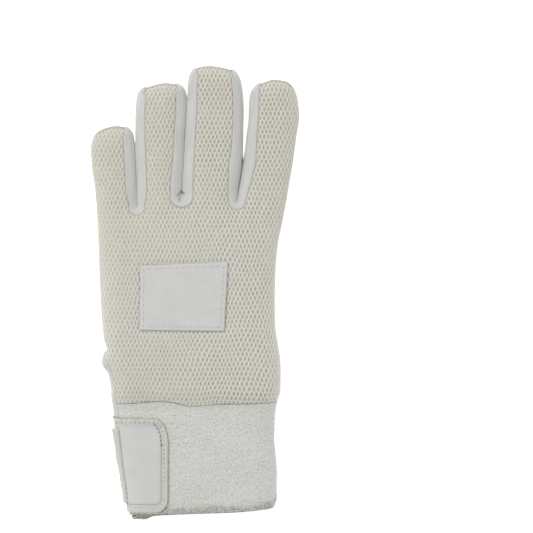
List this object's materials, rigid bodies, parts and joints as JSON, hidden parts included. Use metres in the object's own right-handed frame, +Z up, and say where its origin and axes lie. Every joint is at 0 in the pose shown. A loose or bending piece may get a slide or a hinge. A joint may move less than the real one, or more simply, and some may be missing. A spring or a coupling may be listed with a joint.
{
  "type": "wicketkeeping inner glove",
  "caption": "Padded inner glove for the left hand with a mesh back, a quilted chamois palm, a folded thumb and a towelling cuff with a wrap strap, lying palm down.",
  "frame": {"origin": "under the middle of the bounding box, on the surface that the glove lies on", "axes": "+Y from the mouth of the cuff to the fingertips, +X from the little finger to the index finger, +Z up out of the back of the hand"},
  "size_m": [0.1192, 0.2598, 0.0329],
  "materials": {
    "spacer_mesh": "raised warp-knit spacer mesh with staggered oval holes, off-white",
    "chamois": "soft suede-like chamois, cream, quilted over thin padding",
    "fine_knit": "smooth fine stretch knit, white",
    "towelling": "short looped cotton towelling, white",
    "strap_webbing": "soft bonded cloth strap with stitched edges",
    "woven_patch": "fine woven grid with a pale border line",
    "tab_face": "smooth coated face with a stitched edge",
    "loop_fabric": "brushed loop pile, cream",
    "badge_cloth": "smooth bare patch with a stitched edge"
  },
  "bodies": {
    "root": {"back_panel": "spacer_mesh", "palm_panel": "chamois", "fourchette_little_ring": "fine_knit", "fourchette_ring_middle": "fine_knit", "fourchette_middle_index": "fine_knit", "wrist_gusset": "fine_knit", "cuff": "towelling", "thumb_back": "spacer_mesh", "thumb_front": "chamois", "thumb_welt": "chamois", "strap": "strap_webbing", "strap_patch": "woven_patch", "strap_tab": "tab_face", "loop_pad": "loop_fabric", "back_badge": "badge_cloth"}
  },
  "joints": []
}
